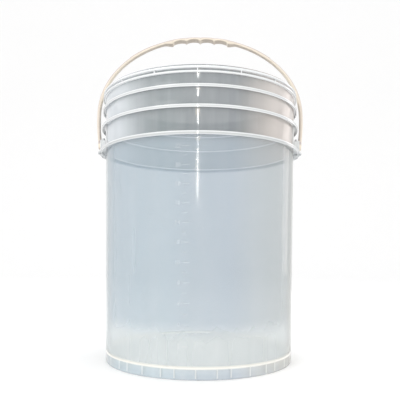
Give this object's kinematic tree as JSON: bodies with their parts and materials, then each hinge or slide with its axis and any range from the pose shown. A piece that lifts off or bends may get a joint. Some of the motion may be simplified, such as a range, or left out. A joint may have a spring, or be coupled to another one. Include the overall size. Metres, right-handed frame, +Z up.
{
  "type": "fermenting bucket",
  "caption": "Tall clear plastic fermenting bucket, slightly tapered, with ribs under the rim and a moulded bail handle with finger grips that swings on two side ears.",
  "frame": {"origin": "centre of the foot ring, on the surface the bucket stands on", "axes": "+Z up, out of the mouth; +X through the right handle ear, along the handle's hinge axis; -Y towards the front"},
  "size_m": [0.356, 0.332, 0.547],
  "materials": {
    "clear_plastic": "clear, slightly hazy natural polypropylene",
    "handle_plastic": "satin cream-white moulded polypropylene"
  },
  "bodies": {
    "bucket": {"bucket": "clear_plastic"},
    "handle": {"bail_handle": "handle_plastic"}
  },
  "joints": [
    {"name": "bail_swing", "type": "hinge", "parent": "bucket", "child": "handle", "pos_m": [0, 0, 0.3545], "axis": [1, 0, 0], "range_deg": [-110, 110]}
  ]
}
